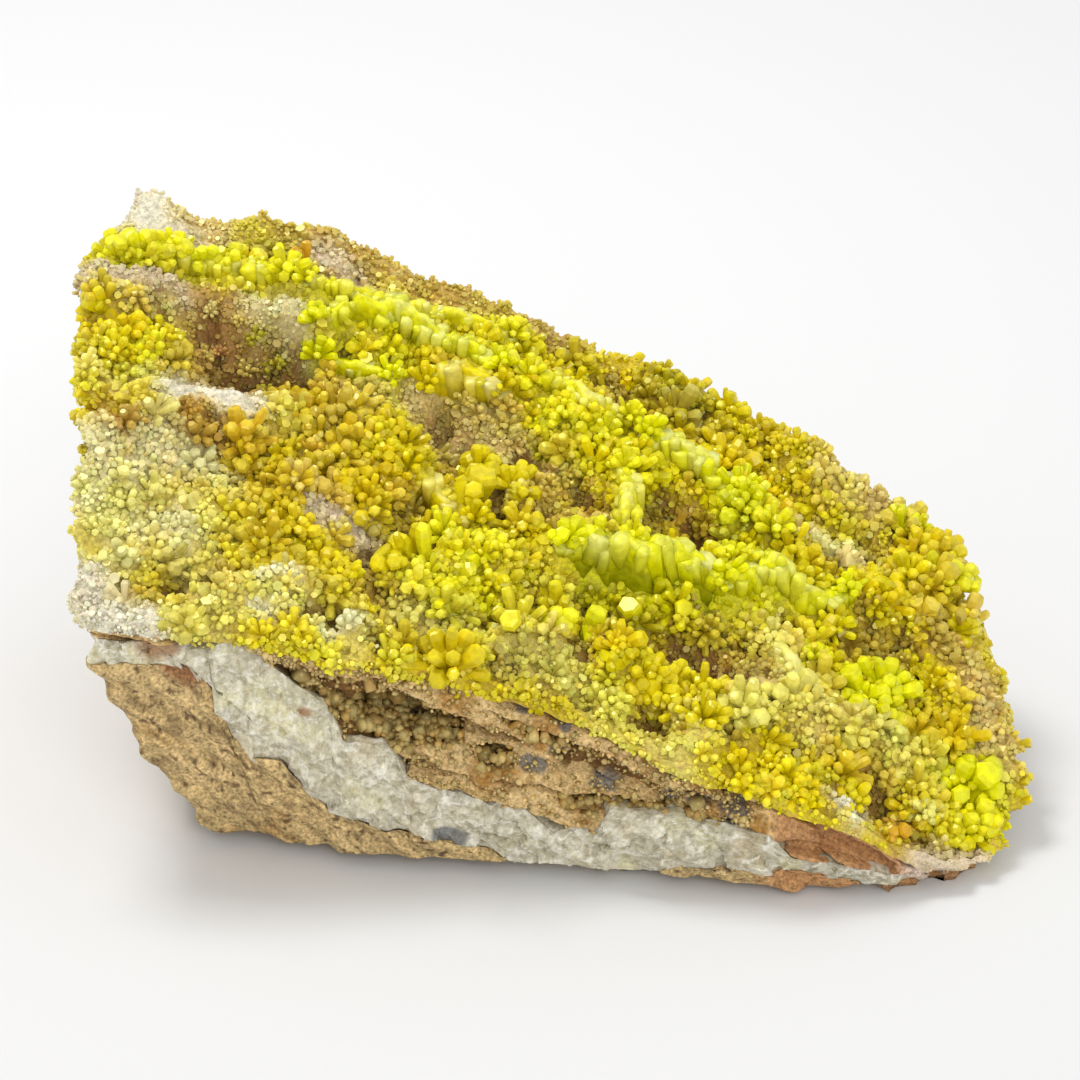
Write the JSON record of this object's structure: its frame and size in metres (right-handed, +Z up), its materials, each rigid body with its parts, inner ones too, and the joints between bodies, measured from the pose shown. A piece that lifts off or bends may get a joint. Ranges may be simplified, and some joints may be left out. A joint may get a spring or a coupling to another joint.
{
  "type": "pyromorphite specimen",
  "caption": "Mineral hand specimen: a broken slab of quartz-veined limonitic rock whose tilted upper face is covered with a yellow-green druse of hexagonal pyromorphite crystals.",
  "frame": {"origin": "middle of the specimen's plan box, on the surface it rests on", "axes": "+X along the length, from the high left end to the low right end; -Y towards the broken front face, which the crystal face tilts towards; +Z up"},
  "size_m": [0.0938, 0.0604, 0.0532],
  "materials": {
    "host_rock": "rough sandy tan rock with rusty stains and dark specks",
    "quartz": "milky granular vein quartz, greasy lustre, slightly see-through",
    "limonite": "earthy ochre to rust-brown ledges with grey-black mineral patches",
    "pyromorphite": "resinous to glassy crystals, yellow-green through golden yellow to cream"
  },
  "bodies": {
    "root": {"host_rock": "host_rock", "quartz_vein": "quartz", "limonite_ledges": "limonite", "pyromorphite_crust": "pyromorphite"}
  },
  "joints": []
}
